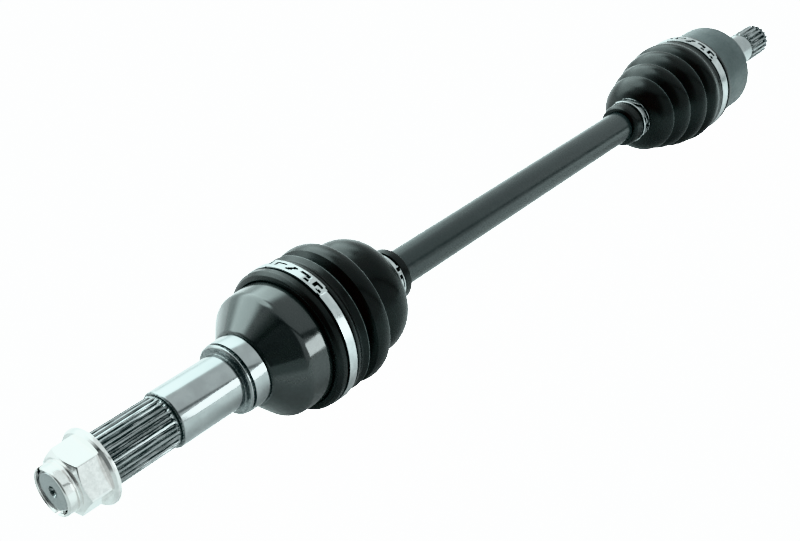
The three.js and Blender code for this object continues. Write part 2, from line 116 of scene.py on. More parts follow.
CLAMPS = {
    "outer_boot_large_clamp": {"body": "outer_housing", "rubber": 38.7, "columns": 240, "lap": 66},
    "outer_boot_small_clamp": {"body": "shaft", "rubber": 14.0, "columns": 90, "lap": 128},
    "inner_boot_small_clamp": {"body": "shaft", "rubber": 13.7, "columns": 90, "lap": 52},
    "inner_boot_large_clamp": {"body": "inner_housing", "rubber": 34.7, "columns": 216, "lap": 69},
}
LAP_PATTERN = (
    "..#################################..",
    "#..##################################",
    "#..##.......####...##......###.....##",
    "#..##.......####...##......###.....##",
    "#..##..########...#######..###..#####",
    "#..##..#######...#############..#####",
    "#..##..######....########...##..##..#",
    "#############...#########...#####...#",
    "#####################################",
    "..#################################..",
)

CIRCLIP = {"inner": 7.95, "outer": 10.5, "gap": math.radians(24), "thickness": 1.2}
CIRCLIP_AT = {"outer_race_circlip": 128.0, "inner_race_circlip": 581.8}
STOPPER_RING = {"station": 550.2, "radius": 25.3, "wire": 0.8, "gap": math.radians(20)}
SNAP_RING = {"station": 676.5, "radius": 11.0, "wire": 0.75, "gap": math.radians(30)}

BOOT_WALL = 1.5
# How far the painted crest highlight reaches from each crest, in millimetres.
CREST_HIGHLIGHT_REACH = 0.55
SCRATCH_HEIGHT = 60.0
OUTER_BOOT_CRESTS = ((163.4, 39.25), (179.6, 39.0), (208.6, 23.4))
INNER_BOOT_CRESTS = ((499.6, 26.9), (515.6, 30.9), (531.6, 35.0), (546.6, 36.4))
INNER_BOOT_SPLIT = 535.2

# Light strengths, and the directions in which the axle sees the studio's parts.
WALL_LIGHT = 0.92
STRIP_LIGHT = 3.6
BACK_LIGHT = 0.75
TABLE_LIGHT = 0.16
KEY_LIGHT = 0.66
HIGH_LIGHT = 3.4
PAPER_LIGHT = 8.0
LIGHT_TINT = (0.86, 0.985, 0.98)
SOFTBOX_TINT = (0.79, 0.98, 0.965)
DARK_CORNER = (-0.82, -0.35, 0.40)
LOW_CORNER = (-1, 0.05, -0.05)
PANEL_SEAM = (0.443, 0.703, 0.556)
STRIP_SLANT = (0.2, 0.72, -0.66)
HIGH_SOFTBOX = (-0.11, 0.58, 0.80)
KEY = {"way": (0.53, -0.817, 0.225), "station": 105, "distance": 0.5, "size": (0.20, 0.17)}
KEY_MIRRORS = ("wheel_stub", "axle_nut_body", "outer_bell", "outer_boot_large_clamp_band", "axle_bar_body")

CAMERA = {"azimuth": -50.65, "elevation": 32.07, "distance": 0.668, "lens": 54.22}
CAMERA_AIM = (-0.1076, -0.0017, 0)


# ------ mesh making


def place(station, radius, angle):
    """The point at a station, a radius and an angle, in metres in the row frame."""
    across = radius * MM * math.cos(angle)
    up = radius * MM * math.sin(angle)
    return Vector((START + station * MM, across, up))


def ring(station, radius):
    """A ring of points round the axle. The radius is a number or a rule of the angle."""
    spots = []
    for step in range(SEGMENTS):
        angle = math.tau * step / SEGMENTS
        reach = radius(angle) if callable(radius) else radius
        spots.append(place(station, reach, angle))
    return spots


def linked(name, data):
    """A new object in the scene: a mesh, a light or a camera."""
    obj = bpy.data.objects.new(name, data)
    bpy.context.scene.collection.objects.link(obj)
    return obj


def add_object(name, mesh):
    """A mesh as an object, shaded smooth with its true edges kept sharp."""
    tidy = bmesh.new()
    tidy.from_mesh(mesh)
    bmesh.ops.recalc_face_normals(tidy, faces=tidy.faces)
    tidy.to_mesh(mesh)
    tidy.free()
    mesh.shade_smooth()
    mesh.set_sharp_from_angle(angle=SHARP)
    return linked(name, mesh)


def skin(name, rings, tips=None):
    """A solid through rings of points. Tips close its ends; without them, the last
    ring meets the first."""
    count = len(rings[0])
    points = [spot for spots in rings for spot in spots]
    faces = []
    for row in range(len(rings) if tips is None else len(rings) - 1):
        here = row * count
        there = (row + 1) % len(rings) * count
        for step in range(count):
            after = (step + 1) % count
            faces.append((here + step, here + after, there + after, there + step))
    if tips is not None:
        for tip, base in zip(tips, (0, (len(rings) - 1) * count)):
            points.append(tip)
            for step in range(count):
                faces.append((base + step, base + (step + 1) % count, len(points) - 1))
    mesh = bpy.data.meshes.new(name)
    mesh.from_pydata(points, [], faces)
    return add_object(name, mesh)


def eased(outline, steps=4):
    """An outline whose points with a third number have that much of their corner
    rounded off on either side."""
    curve = []
    for index, point in enumerate(outline):
        here = Vector(point[:2])
        if len(point) == 2:
            curve.append(here)
            continue
        before = Vector(outline[index - 1][:2])
        after = Vector(outline[(index + 1) % len(outline)][:2])
        cut = [min(point[2], 0.48 * (end - here).length) for end in (before, after)]
        start = here + (before - here).normalized() * cut[0]
        end = here + (after - here).normalized() * cut[1]
        for step in range(steps + 1):
            t = step / steps
            curve.append(start * (1 - t) ** 2 + here * 2 * t * (1 - t) + end * t**2)
    return curve


def rings_of(outline):
    """Rings along an outline of stations and radii."""
    return [ring(*point) for point in eased(outline)]


def turned(name, outline, closed=False):
    """A solid turned from an outline of stations and radii. A closed outline is a
    tube's section; an open one starts and ends on the middle line."""
    rings = rings_of(outline)
    if closed:
        return skin(name, rings)
    return skin(name, rings[1:-1], [place(outline[0][0], 0, 0), place(outline[-1][0], 0, 0)])


def arc(start, end, bulge, steps=8):
    """Points after start on the way to end, bowed sideways by bulge at the middle."""
    a, b = Vector(start), Vector(end)
    side = Vector((-(b - a).y, (b - a).x)).normalized()
    if side.y < 0:
        side = -side
    points = []
    for step in range(1, steps + 1):
        t = step / steps
        points.append(tuple(a + (b - a) * t + side * bulge * 4 * t * (1 - t)))
    return points


def sphere_arc(centre, radius, first, last, steps=16):
    """Outline points on a sphere centred on the middle line, by angle from +X."""
    points = []
    for step in range(steps + 1):
        turn = math.radians(first + (last - first) * step / steps)
        points.append((centre + radius * math.cos(turn), radius * math.sin(turn)))
    return points


def tube(path, radius, sides=20):
    """A bent round bar along a path of points, closed at both ends."""
    rings = []
    for index, spot in enumerate(path):
        ahead = path[min(index + 1, len(path) - 1)] - path[max(index - 1, 0)]
        ahead.normalize()
        out = Vector((0, spot.y, spot.z))
        out = (out - ahead * out.dot(ahead)).normalized()
        side = ahead.cross(out)
        turns = [math.tau * step / sides for step in range(sides)]
        reach = radius * MM
        rings.append([spot + (out * math.cos(a) + side * math.sin(a)) * reach for a in turns])
    return rings


def join(name, parts):
    """One object made of several, which are used up."""
    whole = bmesh.new()
    for part in parts:
        whole.from_mesh(part.data)
        bpy.data.objects.remove(part)
    mesh = bpy.data.meshes.new(name)
    whole.to_mesh(mesh)
    whole.free()
    return add_object(name, mesh)


def bake(obj):
    """Replaces an object's mesh with what its modifiers make of it."""
    graph = bpy.context.evaluated_depsgraph_get()
    mesh = bpy.data.meshes.new_from_object(obj.evaluated_get(graph))
    obj.modifiers.clear()
    obj.data = mesh
    mesh.shade_smooth()
    mesh.set_sharp_from_angle(angle=SHARP)
    return obj


def cut(obj, cutter):
    """Cuts one object away from another, and removes the cutter."""
    boolean = obj.modifiers.new("cut", "BOOLEAN")
    boolean.object = cutter
    boolean.operation = "DIFFERENCE"
    boolean.solver = "MANIFOLD"
    bake(obj)
    bpy.data.objects.remove(cutter)
    return obj


def soften(obj, width):
    """Rounds an object's edges with a fine bevel."""
    bevel = obj.modifiers.new("edges", "BEVEL")
    bevel.width = width * MM
    bevel.segments = 2
    bevel.limit_method = "ANGLE"
    bevel.angle_limit = BEVEL_FROM
    return bake(obj)


def painted_light(obj, rule):
    """Stores how much light is painted on each point, from 0 to 1, by a rule of station and radius: painted
    shade on the steel stubs, a painted highlight on the boots.
    """
    values = []
    for vertex in obj.data.vertices:
        radius = math.hypot(vertex.co.y, vertex.co.z) / MM
        values.append(rule((vertex.co.x - START) / MM, radius))
    layer = obj.data.attributes.new("painted_light", "FLOAT", "POINT")
    layer.data.foreach_set("value", values)


def finished(obj, material, slot, *nodes):
    """Gives a piece its material, and hides the CAD nodes it
    stands for."""
    obj.data.materials.clear()
    obj.data.materials.append(material)
    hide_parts(*nodes)
    return obj


# ------ materials


class Nodes:
    """A node tree, and the steps that its nodes take."""

    def __init__(self, tree):
        self.tree = tree

    def node(self, kind):
        return self.tree.nodes.new("ShaderNode" + kind)

    def feed(self, socket, value):
        """Puts a number, a colour or another node's output into a socket."""
        if isinstance(value, bpy.types.NodeSocket):
            self.tree.links.new(value, socket)
        else:
            socket.default_value = value

    def graded(self, value, low, high, start=0.35, end=0.65):
        """A value read from start to end, given out smoothly from low to high."""
        ramp = self.node("MapRange")
        ramp.interpolation_type = "SMOOTHSTEP"
        numbers = {"Value": value, "From Min": start, "From Max": end, "To Min": low, "To Max": high}
        for socket, number in numbers.items():
            self.feed(ramp.inputs[socket], number)
        return ramp.outputs["Result"]

    def maths(self, operation, first, second=0.0):
        """One step of arithmetic."""
        step = self.node("Math")
        step.operation = operation
        self.feed(step.inputs[0], first)
        self.feed(step.inputs[1], second)
        return step.outputs["Value"]

    def mixed(self, share, first, second):
        """One colour turning into another by a share from 0 to 1."""
        blend = self.node("Mix")
        blend.data_type = "RGBA"
        self.feed(blend.inputs["Factor"], share)
        self.feed(blend.inputs["A"], first)
        self.feed(blend.inputs["B"], second)
        return blend.outputs["Result"]

    def lean(self, way, direction):
        """How far a way leans towards a direction, from -1 to 1."""
        dot = self.node("VectorMath")
        dot.operation = "DOT_PRODUCT"
        self.feed(dot.inputs[0], way)
        self.feed(dot.inputs[1], Vector(direction).normalized())
        return dot.outputs["Value"]


class Finish(Nodes):
    """A procedural finish: one principled shader and the nodes that feed it."""

    def __init__(self, name, **sockets):
        self.material = bpy.data.materials.new(name)
        self.material.use_nodes = True
        super().__init__(self.material.node_tree)
        self.shader = self.tree.nodes["Principled BSDF"]
        for socket, value in sockets.items():
            self.shader.inputs[socket.replace("_", " ")].default_value = value
        self.spot = self.node("TexCoord").outputs["Object"]

    def noise(self, size, stretch=(1, 1, 1), detail=3):
        """Noise from 0 to 1 with grains of a size in millimetres, longer where the
        stretch is above 1."""
        scaled = self.node("Mapping")
        self.feed(scaled.inputs["Vector"], self.spot)
        scaled.inputs["Scale"].default_value = [1 / (size * MM * way) for way in stretch]
        texture = self.node("TexNoise")
        texture.inputs["Scale"].default_value = 1
        texture.inputs["Detail"].default_value = detail
        self.feed(texture.inputs["Vector"], scaled.outputs["Vector"])
        return texture.outputs["Fac"]

    def clouded(self, size, first, second, stretch=(1, 1, 1)):
        """A colour that drifts between two, in patches of a size."""
        return self.mixed(self.graded(self.noise(size, stretch), 0, 1), rgb(*first), rgb(*second))

    def painted_light_share(self):
        """The piece's own map of painted light: shade on the steel stubs, highlights on the boots."""
        layer = self.node("Attribute")
        layer.attribute_name = "painted_light"
        return layer.outputs["Fac"]

    def colour(self, value):
        self.feed(self.shader.inputs["Base Color"], value)

    def roughness(self, value):
        self.feed(self.shader.inputs["Roughness"], value)

    def bump(self, height, depth, strength):
        """Raises the surface by a height, where 1 is a depth in millimetres."""
        relief = self.node("Bump")
        relief.inputs["Strength"].default_value = strength
        relief.inputs["Distance"].default_value = depth * MM
        self.feed(relief.inputs["Height"], height)
        self.feed(self.shader.inputs["Normal"], relief.outputs["Normal"])


def rgb(red, green, blue):
    return (red, green, blue, 1.0)


def zinc_plate():
    """Bright zinc with a faint cloudiness."""
    finish = Finish("zinc_plate", Metallic=1.0)
    finish.colour(finish.clouded(4, (0.84, 0.81, 0.80), (0.93, 0.90, 0.89)))
    finish.roughness(finish.graded(finish.noise(1.2), 0.10, 0.19))
    finish.bump(finish.noise(0.6), 0.006, 0.2)
    return finish.material


def ground_steel():
    """Ground steel with fine grinding lines round it. It is painted dark as shade in its
    recesses, where its map of painted light says, and scratched lengthwise on the two splines."""
    finish = Finish("ground_steel", Metallic=1.0)
    lines = finish.noise(0.12, (1, 400, 400), 2)
    steel = finish.clouded(9, (0.40, 0.405, 0.41), (0.455, 0.46, 0.465))
    streaks = finish.graded(finish.noise(0.5, (45, 1, 1), 4), 0, 1, 0.40, 0.62)
    # Painted shade: a dark tone put into the steel's recesses, where the map marks them.
    painted_shade_tone = finish.mixed(streaks, rgb(0.022, 0.026, 0.028), rgb(0.24, 0.25, 0.25))
    scratches = finish.noise(0.6, (14, 1, 1), 5)
    off_middle = finish.maths("ABSOLUTE", finish.lean(finish.spot, (1, 0, 0)))
    first_spline = -START - WHEEL_SPLINE["end"] * MM
    on_splines = finish.graded(off_middle, 0.0, 1.0, first_spline - MM, first_spline)
    scuffs = finish.graded(scratches, 0.1, 1.9, 0.38, 0.62)
    scuffs = finish.graded(on_splines, 1.0, scuffs, 0.0, 1.0)
    painted_shade_share = finish.maths("MULTIPLY", finish.painted_light_share(), scuffs)
    finish.colour(finish.mixed(painted_shade_share, steel, painted_shade_tone))
    shine = finish.graded(lines, 0.11, 0.17)
    finish.roughness(finish.maths("ADD", shine, finish.maths("MULTIPLY", painted_shade_share, 0.25)))
    worn = finish.maths("MULTIPLY", finish.painted_light_share(), finish.maths("MULTIPLY", scratches, SCRATCH_HEIGHT))
    worn = finish.maths("MULTIPLY", worn, on_splines)
    finish.bump(finish.maths("ADD", lines, worn), 0.003, 0.12)
    return finish.material


def ball_steel():
    """Polished bearing steel with a thin film of grease."""
    finish = Finish("ball_steel", Metallic=1.0)
    film = finish.noise(3)
    finish.colour(finish.mixed(finish.graded(film, 0, 1), rgb(0.62, 0.63, 0.64), rgb(0.50, 0.48, 0.42)))
    finish.roughness(finish.graded(film, 0.06, 0.22))
    finish.bump(film, 0.02, 0.2)
    return finish.material


def spring_steel():
    """Dark spring wire with drawn lines along it."""
    finish = Finish("spring_steel", Metallic=1.0)
    drawn = finish.noise(0.4, (1, 6, 6))
    finish.colour(finish.mixed(finish.graded(drawn, 0, 1), rgb(0.16, 0.17, 0.18), rgb(0.27, 0.28, 0.29)))
    finish.roughness(finish.graded(drawn, 0.3, 0.45))
    finish.bump(drawn, 0.01, 0.4)
    return finish.material


def stainless_band():
    """Rolled stainless strip, brushed along its length, round the axle."""
    finish = Finish("stainless_band", Metallic=1.0)
    brushed = finish.noise(0.1, (1, 60, 60), 2)
    finish.colour(finish.clouded(6, (0.55, 0.555, 0.56), (0.64, 0.645, 0.65)))
    finish.roughness(finish.graded(brushed, 0.16, 0.26))
    finish.bump(brushed, 0.005, 0.2)
    return finish.material


def black_paint():
    """Glossy black enamel with a slight orange peel and faint clouds."""
    finish = Finish("black_paint", IOR=1.6, Specular_IOR_Level=0.7)
    finish.colour(finish.clouded(16, (0.024, 0.022, 0.022), (0.030, 0.028, 0.028)))
    finish.roughness(finish.graded(finish.noise(2.5), 0.09, 0.15))
    finish.bump(finish.noise(1.4, detail=2), 0.02, 0.12)
    return finish.material


def bar_paint():
    """Semi-gloss black paint over a drawn bar, with faint lines along it."""
    finish = Finish("bar_paint", Specular_IOR_Level=0.65)
    finish.colour(finish.clouded(22, (0.032, 0.033, 0.034), (0.042, 0.043, 0.044), (4, 1, 1)))
    finish.roughness(finish.graded(finish.noise(3, (3, 1, 1)), 0.15, 0.24))
    finish.bump(finish.noise(1.2, (12, 1, 1), 2), 0.015, 0.15)
    return finish.material


def grey_paint():
    """Satin dark grey paint over a forged can."""
    finish = Finish("grey_paint", IOR=1.5)
    finish.colour(finish.clouded(14, (0.074, 0.088, 0.091), (0.094, 0.109, 0.112)))
    finish.roughness(finish.graded(finish.noise(1.8), 0.30, 0.42))
    finish.bump(finish.noise(0.9), 0.02, 0.3)
    return finish.material


def boot_rubber():
    """Moulded black rubber: a semi-gloss skin with fine grain, with a pale highlight
    painted along the crests of its folds."""
    finish = Finish("boot_rubber", Specular_IOR_Level=0.42)
    skin_tone = finish.clouded(11, (0.009, 0.006, 0.006), (0.013, 0.009, 0.009), (1, 1.6, 1.6))
    painted_crest_highlight = finish.maths("MULTIPLY", finish.painted_light_share(), finish.graded(finish.noise(3), 0.5, 1.0))
    # Painted highlight: pale grey along the boot's crests, where light catches the folds.
    finish.colour(finish.mixed(painted_crest_highlight, skin_tone, rgb(0.30, 0.32, 0.32)))
    finish.roughness(finish.graded(finish.noise(5), 0.23, 0.31))
    finish.bump(finish.noise(0.5), 0.008, 0.15)
    return finish.material


# ------ splines and thread


def spline_rule(spline, swell=0.0):
    """Trapezoid teeth: the radius by angle, with the gaps filled by a share."""
    root = spline["root"] + (spline["tip"] - spline["root"]) * swell

    def radius(angle):
        phase = (angle * spline["teeth"] / math.tau) % 1
        rise = min(1.0, max(0.0, 3.2 * (0.5 - abs(phase - 0.5)) * 2 - 0.9))
        return root + (spline["tip"] - root) * rise

    return radius


def capped(rule, limit):
    """A rule of the angle, kept under a limit."""
    return lambda angle: min(rule(angle), limit)


def spline_rings(spline, lead, runout):
    """Rings of a splined length, its tips chamfered over the lead and its gaps
    rising to the tips over the run-out."""
    teeth = spline_rule(spline)
    start, end = spline["start"], spline["end"]
    rings = [ring(start, capped(teeth, spline["root"] + 0.1))]
    rings.append(ring(start + lead, teeth))
    steps = 5
    for step in range(steps + 1):
        share = step / steps
        rings.append(ring(end - runout * (1 - share), spline_rule(spline, share**2)))
    return rings


def thread_rings():
    """Rings of the helical thread under the nut."""
    rings = []
    depth = THREAD["crest"] - THREAD["root"]
    steps = 6
    count = int((THREAD["end"] - THREAD["start"]) / THREAD["pitch"] * steps)
    for step in range(count + 1):
        station = THREAD["start"] + step * THREAD["pitch"] / steps

        def radius(angle, turn=step / steps):
            phase = (turn - angle / math.tau) % 1
            return THREAD["root"] + depth * min(1, max(0, 2.6 * abs(phase - 0.5) - 0.1))

        rings.append(ring(station, radius))
    return rings


# ------ outer joint


def centre_drill(face, inward):
    """Outline of a centre-drilled end face, from the bottom of the hole outwards."""
    cone = [(5.2, 0.6), (4.5, 1.3), (2.7, 1.3), (0.25, 2.7), (0, 2.95)]
    return [(face + depth * inward, radius) for depth, radius in cone]


def wheel_stub(steel):
    """The splined and threaded stub that carries the wheel hub."""
    seat, seal = BEARING_SEAT, SEAL_SEAT
    rings = rings_of(centre_drill(0, 1) + [(0, 9.4, 0.3), (0.9, THREAD["root"])])
    rings += thread_rings()
    rings += rings_of([(THREAD["end"] + 0.1, THREAD["root"]), (WHEEL_SPLINE["start"], THREAD["root"])])
    rings += spline_rings(WHEEL_SPLINE, lead=1.1, runout=2.2)
    undercut, groove, rim = seat["undercut"], seal["groove"], SHOULDER["radius"] - 0.5
    outline = [
        (WHEEL_SPLINE["end"] + 0.1, RELIEF["radius"], 0.1), (RELIEF["end"], RELIEF["radius"], 0.15),
        (RELIEF["end"] + 0.2, RELIEF["radius"] + 1.1, 0.1), (seat["start"] - 0.6, seat["radius"] - 0.6, 0.1),
        (seat["start"], seat["radius"], 0.15), (seat["end"] - 1.3, seat["radius"], 0.1),
        (seat["end"] - 1.0, undercut, 0.2), (seat["end"] - 0.3, undercut, 0.3),
        (seat["end"], seat["radius"] + 0.4, 0.3), (seat["end"], rim - 1.1, 0.3),
        (seat["end"] + 0.6, rim, 0.4), (SHOULDER["end"] - 0.5, rim, 0.2),
        (SHOULDER["end"] - 0.4, groove, 0.2), (seal["start"] - 0.1, groove, 0.2),
        (seal["start"], seal["radius"], 0.15), (seal["end"] - 0.2, seal["radius"], 0.1),
        (seal["end"], 19.0),
    ]
    rings += rings_of(outline)
    tips = [place(5.4, 0, 0), place(seal["end"], 0, 0)]
    stub = skin("wheel_stub", rings, tips)
    painted_light(stub, wheel_stub_painted_shade)
    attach(stub, "outer_housing")
    return finished(stub, steel, "ground_steel", "outer_housing")


def wheel_stub_painted_shade(station, radius):
    """Painted shade in the spline's gaps, in the grooves, on the shoulder's face and in the centre hole, and
    a faint painted shade on the end face.
    """
    spline = WHEEL_SPLINE
    if spline["start"] <= station <= spline["end"]:
        depth = (spline["tip"] - radius) / (spline["tip"] - spline["root"])
        return min(1.0, 0.35 + depth)
    if spline["end"] < station < BEARING_SEAT["start"] - 0.3:
        return 0.9
    if abs(station - BEARING_SEAT["end"]) < 0.7:
        return 0.75 if radius < 17.9 else 0.35
    if SHOULDER["end"] - 0.45 < station < SEAL_SEAT["start"] and radius < 18.8:
        return 0.95
    if station < 6 and radius < 2.8:
        return 0.97
    if station < 0.2 and radius < 9.6:
        return 0.08
    return 0.0


def tracks(name, path_at, radius, sides=20):
    """Cutter for six ball tracks: a tube along the path at each ball's angle."""
    parts = []
    for path in map(path_at, BALL_ANGLES):
        parts.append(skin(name, tube(path, radius, sides), [path[0], path[-1]]))
    return join(name, parts)


def curved_tracks(name):
    """Cutter for the outer joint's tracks, curved round its centre."""
    centre, pitch = OUTER_JOINT["centre"], OUTER_JOINT["pitch"]

    def path_at(angle):
        leans = [math.radians(-64 + 8 * step) for step in range(17)]
        return [place(centre + pitch * math.sin(lean), pitch * math.cos(lean), angle) for lean in leans]

    return tracks(name, path_at, OUTER_JOINT["ball"] + TRACK_ROOM["outer"])


def straight_tracks(name, first, last, room):
    """Cutter for the inner joint's tracks, straight along it."""

    def path_at(angle):
        return [place(station, INNER_JOINT["pitch"], angle) for station in (first, last)]

    return tracks(name, path_at, INNER_JOINT["ball"] + room, 28)


def outer_bell(paint):
    """The painted bell of the outer joint, hollow, with its ball tracks."""
    hollow, centre = OUTER_JOINT["hollow"], OUTER_JOINT["centre"]
    neck = SEAL_SEAT["end"] + 0.2
    outline = [
        (neck, 0), (neck, 18.8, 0.2), (neck + 0.2, 19.9, 0.15), (BELL["neck"], BELL["neck_radius"], 0.5),
        (BELL["crease"], BELL["crease_radius"], 2.2), (BELL_RIM["station"], BELL_RIM["radius"], 0.6),
        (BELL_RIM["station"], BELL_RIM["bore"], 0.5),
    ]
    outline += sphere_arc(centre, hollow, 19, 148, 24)
    outline += [(centre - hollow * math.cos(math.radians(32)), 0)]
    bell = turned("outer_bell", outline)
    cut(bell, curved_tracks("tracks"))
    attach(bell, "outer_housing")
    return finished(bell, paint, "black_paint", "outer_housing")


def race(name, joint, size, cutter, steel, node):
    """An inner race: a ball-shaped ring with six tracks cut in it."""
    edge = math.degrees(math.acos(size["half"] / size["radius"]))
    outline = sphere_arc(joint["centre"], size["radius"], edge, 180 - edge, 20)
    bore = BAR_SPLINE["tip"] + 0.2
    outline = [(joint["centre"] + size["half"], bore)] + outline + [(joint["centre"] - size["half"], bore)]
    piece = turned(name, outline, closed=True)
    cut(piece, cutter)
    soften(piece, 0.25)
    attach(piece, "shaft")
    return finished(piece, steel, "ground_steel", node)


def cage(name, joint, size, steel, node):
    """A ball cage: a thin ball-shaped ring with six rounded windows."""
    centre, half = joint["centre"], size["half"]
    outside = math.degrees(math.acos(half / size["outer"]))
    inside = math.degrees(math.acos(half / size["inner"]))
    outline = sphere_arc(centre, size["outer"], outside, 180 - outside, 16)
    outline += sphere_arc(centre, size["inner"], 180 - inside, inside, 16)
    piece = turned(name, outline, closed=True)
    cut(piece, join("windows", [window_cutter(joint, size, angle) for angle in BALL_ANGLES]))
    soften(piece, 0.2)
    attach(piece, node.replace("_joint_cage", "_cage"))
    return finished(piece, steel, "ground_steel", node)


def window_cutter(joint, size, angle):
    """A rounded block that cuts one window of a cage."""
    out = place(0, 1, angle) - place(0, 0, angle)
    out.normalize()
    along = Vector((1, 0, 0))
    side = out.cross(along)
    middle = place(joint["centre"], 0, 0)
    half_long = size["window"] * MM
    half_wide = (joint["ball"] + 0.05) * MM
    corner = 2.2 * MM
    loop = []
    for quarter in range(4):
        across = half_long - corner if quarter in (0, 3) else corner - half_long
        lengthwise = half_wide - corner if quarter in (0, 1) else corner - half_wide
        for step in range(5):
            turn = math.pi / 2 * (quarter + step / 4)
            u = across + corner * math.cos(turn)
            v = lengthwise + corner * math.sin(turn)
            loop.append(side * u + along * v)
    depths = (size["inner"] - 5, size["outer"] + 4)
    rings = [[middle + out * depth * MM + spot for spot in loop] for depth in depths]
    return skin("window", rings, [middle + out * depth * MM for depth in depths])


def bearing_balls(prefix, joint, steel, body):
    """A joint's balls: cubes rounded to spheres, so that their faces are even."""
    for number, angle in enumerate(BALL_ANGLES, 1):
        name = f"{prefix}_{number}"
        mesh = bpy.data.meshes.new(name)
        even = bmesh.new()
        bmesh.ops.create_cube(even, size=1)
        bmesh.ops.subdivide_edges(even, edges=even.edges, cuts=13, use_grid_fill=True)
        middle = place(joint["centre"], joint["pitch"], angle)
        for vertex in even.verts:
            vertex.co = middle + vertex.co.normalized() * joint["ball"] * MM
        even.to_mesh(mesh)
        even.free()
        piece = add_object(name, mesh)
        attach(piece, body)
        finished(piece, steel, "ball_steel", name)


def circlip(name, steel):
    """A race circlip: a flat ring with a gap."""
    station, gap = CIRCLIP_AT[name], CIRCLIP["gap"]
    far = station + CIRCLIP["thickness"]
    inner, outer = CIRCLIP["inner"], CIRCLIP["outer"]
    section = [(station, inner), (far, inner), (far, outer), (station, outer)]
    rings = []
    for step in range(61):
        angle = gap / 2 + (math.tau - gap) * step / 60
        rings.append([place(along, radius, angle) for along, radius in section])
    tips = [sum(spots, Vector()) / 4 for spots in (rings[0], rings[-1])]
    piece = soften(skin(name, rings, tips), 0.12)
    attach(piece, "shaft")
    return finished(piece, steel, "spring_steel", name)


def wire_ring(name, size, steel):
    """A round wire in the inner housing, bent to a ring with a gap at the top."""
    gap = size["gap"]
    path = []
    for step in range(97):
        angle = math.radians(90) + gap / 2 + (math.tau - gap) * step / 96
        path.append(place(size["station"], size["radius"], angle))
    piece = skin(name, tube(path, size["wire"], 12), [path[0], path[-1]])
    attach(piece, "inner_housing")
    return finished(piece, steel, "spring_steel", name)


# ------ nut


def softened(first, second):
    """The smaller of two lengths, with the change between them eased."""
    easing = NUT_NOSE["easing"]
    if abs(first - second) * easing > 40:
        return min(first, second)
    return -math.log(math.exp(-easing * first) + math.exp(-easing * second)) / easing


def hexagon(angle):
    """The nut's six flats: the radius by angle, with its corners taken off."""
    sector = math.radians(60)
    lean = (angle - NUT_HEX["phase"]) % sector - sector / 2
    return softened(NUT_HEX["apothem"] / math.cos(lean), NUT_HEX["corner"])


def nut_rule(station):
    """The nut's side: flats under the nose chamfer, then a step out to the flange,
    which slopes up to its rim."""
    nose = NUT_NOSE["radius"] + NUT_NOSE["slope"] * (station - NUT["hex"])
    rise = (station - NUT_HEX["end"]) / (NUT_FLANGE["rim"] - NUT_HEX["end"])
    flange = NUT_FLANGE["neck"] + (NUT_FLANGE["radius"] - NUT_FLANGE["neck"]) * rise
    if rise < 0:
        flange = 12

    def radius(angle):
        side = softened(hexagon(angle), nose)
        return min(max(side, flange), NUT_FLANGE["radius"])

    return radius


def axle_nut(zinc):
    """The staked flange nut that holds the hub on the wheel stub."""
    collar, nose, seat = NUT["collar"], NUT["nose"], NUT["seat"]
    bore, sink = NUT_BORE["radius"], NUT_BORE["sink"]
    rings = rings_of([
        (seat, sink, 0.2), (seat - NUT_BORE["sink_depth"], bore, 0.2), (nose + 0.7, bore, 0.2),
        (nose, bore + 0.35, 0.15), (nose, collar - 0.55, 0.25), (nose + 0.65, collar, 0.35),
        (NUT["neck"], collar, 0.4), (NUT["waist"], collar - 0.45, 0.8),
        (NUT["hex"] - 0.05, collar + 0.1, 0.4),
        (NUT["hex"], 13.3),
    ])
    station = NUT["hex"] + 0.05
    while station < NUT_FLANGE["rim"]:
        rings.append(ring(station, nut_rule(station)))
        station += 0.2
    rings += rings_of([
        (NUT_FLANGE["rim"] + 0.2, NUT_FLANGE["radius"], 0.2),
        (seat - 0.3, NUT_FLANGE["radius"], 0.2), (seat, NUT_FLANGE["radius"] - 0.35, 0.15),
    ])
    nut = skin("axle_nut_body", rings)
    cut(nut, join("slots", [lock_slot(angle) for angle in LOCK_SLOTS]))
    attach(nut, "axle_nut")
    return finished(nut, zinc, "zinc_plate", "axle_nut")


def lock_slot(angle):
    """Cutter for one staking slot in the nut's collar."""
    out = (place(0, 1, angle) - place(0, 0, angle)).normalized()
    side = out.cross(Vector((1, 0, 0)))
    rings = []
    for station in (NUT["nose"] - 1, 1.2, 1.9):
        half = 1.15 if station < 1.5 else 0.6
        spots = []
        for radius, way in ((10, -1), (14, -1), (14, 1), (10, 1)):
            spots.append(place(station, 0, 0) + out * radius * MM + side * way * half * MM)
        rings.append(spots)
    tips = [sum(spots, Vector()) / 4 for spots in (rings[0], rings[-1])]
    return skin("slot", rings, tips)


# ------ axle bar


